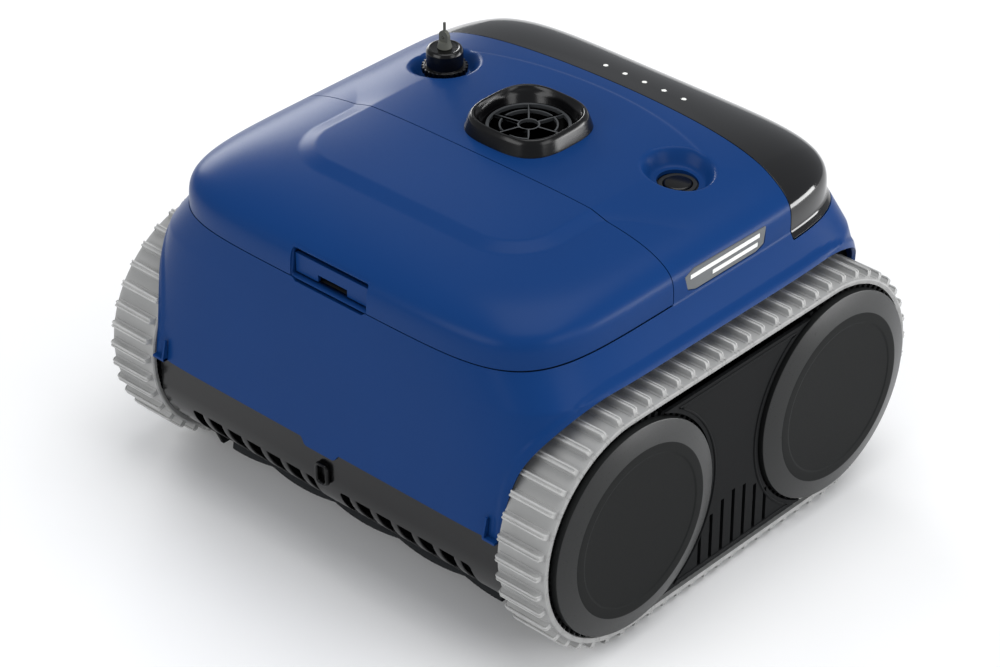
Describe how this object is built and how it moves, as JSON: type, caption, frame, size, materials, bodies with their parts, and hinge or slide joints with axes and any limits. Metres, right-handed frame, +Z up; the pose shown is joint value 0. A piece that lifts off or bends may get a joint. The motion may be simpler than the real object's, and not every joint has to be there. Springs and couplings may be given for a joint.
{
  "type": "robotic pool cleaner",
  "caption": "Tracked cordless pool cleaner with a hinged filter lid, thruster outlet, roller brush, side lights and a capped charging port.",
  "frame": {"origin": "on the floor under the middle of the machine", "axes": "+Z up, -Y towards the filter lid and latch end, +X towards the push button side"},
  "size_m": [0.4494, 0.4106, 0.3028],
  "materials": {
    "blue_shell": "satin gloss",
    "black_band": "high gloss",
    "black_base": "matt",
    "black_trim": "satin",
    "light_surround": "satin",
    "light_diffuser": "frosted",
    "track_rubber": "matt",
    "cover_plastic": "fine matt",
    "wheel_plastic": "matt",
    "gear_nylon": "satin",
    "shaft_steel": "ground",
    "bush_bronze": "turned",
    "motor_case": "satin",
    "brush_foam": "open foam",
    "basket_plastic": "fine mesh",
    "seal_rubber": "matt",
    "eyelet_plastic": "matt",
    "board_green": "solder resist",
    "cell_wrap": "shrink wrap"
  },
  "bodies": {
    "hull": {"base_chassis": "black_base", "front_skirt": "black_base", "rear_skirt": "black_base", "upper_shell": "blue_shell", "rear_band": "black_band", "side_frame_left": "black_base", "side_frame_right": "black_base", "side_panel_left": "black_base", "side_panel_right": "black_base", "lid_hinge_bracket": "black_trim", "lid_hinge_pins": "shaft_steel", "lid_gasket": "seal_rubber", "indicator_lenses": "light_diffuser", "control_board": "board_green", "outlet_bezel": "black_trim", "outlet_grille": "black_trim", "thruster_duct": "black_trim", "thruster_motor": "motor_case", "light_bezel_left": "light_surround", "light_bezel_right": "light_surround", "light_bars_left": "light_diffuser", "light_bars_right": "light_diffuser", "cap_seal": "seal_rubber", "charge_socket": "black_trim", "button_seal": "seal_rubber", "battery_pack": "cell_wrap", "dry_box": "black_base", "drive_motor_left": "motor_case", "drive_motor_right": "motor_case", "wheel_axles": "shaft_steel", "track_left": "track_rubber", "track_right": "track_rubber", "filter_basket": "basket_plastic", "bearing_bushes": "bush_bronze", "screws": "shaft_steel"},
    "lid": {"filter_lid": "blue_shell", "lid_hinge_arms": "black_trim"},
    "latch": {"lid_latch": "blue_shell"},
    "front_wheel_left": {"track_wheel_front_left": "wheel_plastic", "wheel_cover_front_left": "cover_plastic", "drive_gear_left": "gear_nylon"},
    "front_wheel_right": {"track_wheel_front_right": "wheel_plastic", "wheel_cover_front_right": "cover_plastic", "drive_gear_right": "gear_nylon"},
    "rear_wheel_left": {"track_wheel_rear_left": "wheel_plastic", "wheel_cover_rear_left": "cover_plastic"},
    "rear_wheel_right": {"track_wheel_rear_right": "wheel_plastic", "wheel_cover_rear_right": "cover_plastic"},
    "pinion_left": {"drive_pinion_left": "gear_nylon"},
    "pinion_right": {"drive_pinion_right": "gear_nylon"},
    "brush": {"brush_roller": "brush_foam", "brush_gear": "gear_nylon"},
    "rotor": {"propeller": "black_trim", "propeller_shaft": "shaft_steel"},
    "cap": {"port_cap": "black_trim"},
    "eyelet": {"cap_eyelet": "eyelet_plastic", "tether_pin": "eyelet_plastic"},
    "button": {"power_button": "black_trim"},
    "handle": {"basket_handle": "basket_plastic"},
    "flap": {"inlet_flap": "basket_plastic"}
  },
  "joints": [
    {"name": "lid_hinge", "type": "hinge", "parent": "hull", "child": "lid", "pos_m": [0, -0.04, 0.264], "axis": [-1, 0, 0], "range_deg": [0, 85]},
    {"name": "latch_pull", "type": "hinge", "parent": "lid", "child": "latch", "pos_m": [0, -0.17, 0.239], "axis": [-1, 0, 0], "range_deg": [0, 18], "stiffness_Nm_per_rad": 0.3, "springref_deg": -5.73},
    {"name": "wheel_front_left", "type": "hinge", "parent": "hull", "child": "front_wheel_left", "pos_m": [-0.19, -0.1102, 0.09519], "axis": [1, 0, 0], "continuous": true, "deforming": ["track_left"]},
    {"name": "wheel_front_right", "type": "hinge", "parent": "hull", "child": "front_wheel_right", "pos_m": [0.19, -0.1102, 0.09519], "axis": [1, 0, 0], "continuous": true, "deforming": ["track_right"]},
    {"name": "wheel_rear_left", "type": "hinge", "parent": "hull", "child": "rear_wheel_left", "pos_m": [-0.19, 0.1102, 0.09519], "axis": [1, 0, 0], "continuous": true, "deforming": ["track_left"]},
    {"name": "wheel_rear_right", "type": "hinge", "parent": "hull", "child": "rear_wheel_right", "pos_m": [0.19, 0.1102, 0.09519], "axis": [1, 0, 0], "continuous": true, "deforming": ["track_right"]},
    {"name": "pinion_left", "type": "hinge", "parent": "hull", "child": "pinion_left", "pos_m": [-0.15, -0.05034, 0.08246], "axis": [1, 0, 0], "continuous": true},
    {"name": "pinion_right", "type": "hinge", "parent": "hull", "child": "pinion_right", "pos_m": [0.15, -0.05034, 0.08246], "axis": [1, 0, 0], "continuous": true},
    {"name": "brush_roll", "type": "hinge", "parent": "hull", "child": "brush", "pos_m": [0, -0.13786, 0.03307], "axis": [1, 0, 0], "continuous": true},
    {"name": "propeller_spin", "type": "hinge", "parent": "hull", "child": "rotor", "pos_m": [0, 0.021, 0.25], "axis": [0, 0, 1], "continuous": true},
    {"name": "cap_turn", "type": "hinge", "parent": "hull", "child": "cap", "pos_m": [-0.1135, 0.053, 0.27], "axis": [0, 0, 1], "range_deg": [0, 90]},
    {"name": "eyelet_swivel", "type": "hinge", "parent": "cap", "child": "eyelet", "pos_m": [-0.1135, 0.053, 0.285], "axis": [0, 0, 1], "continuous": true},
    {"name": "button_press", "type": "slide", "parent": "hull", "child": "button", "axis": [0, 0, -1], "range_m": [0, 0.002], "stiffness_N_per_m": 400, "springref_m": -0.0005},
    {"name": "handle_lift", "type": "hinge", "parent": "hull", "child": "handle", "pos_m": [0, -0.1005, 0.211], "axis": [-1, 0, 0], "range_deg": [0, 85]},
    {"name": "flap_swing", "type": "hinge", "parent": "hull", "child": "flap", "pos_m": [0, -0.0782, 0.1196], "axis": [-1, 0, 0], "range_deg": [0, 75]}
  ],
  "couplings": [
    {"joint": "wheel_rear_left", "follows": "wheel_front_left", "ratio": 1},
    {"joint": "wheel_rear_right", "follows": "wheel_front_right", "ratio": 1},
    {"joint": "pinion_left", "follows": "wheel_front_left", "ratio": -5},
    {"joint": "pinion_right", "follows": "wheel_front_right", "ratio": -5},
    {"joint": "brush_roll", "follows": "wheel_front_right", "ratio": -3}
  ]
}
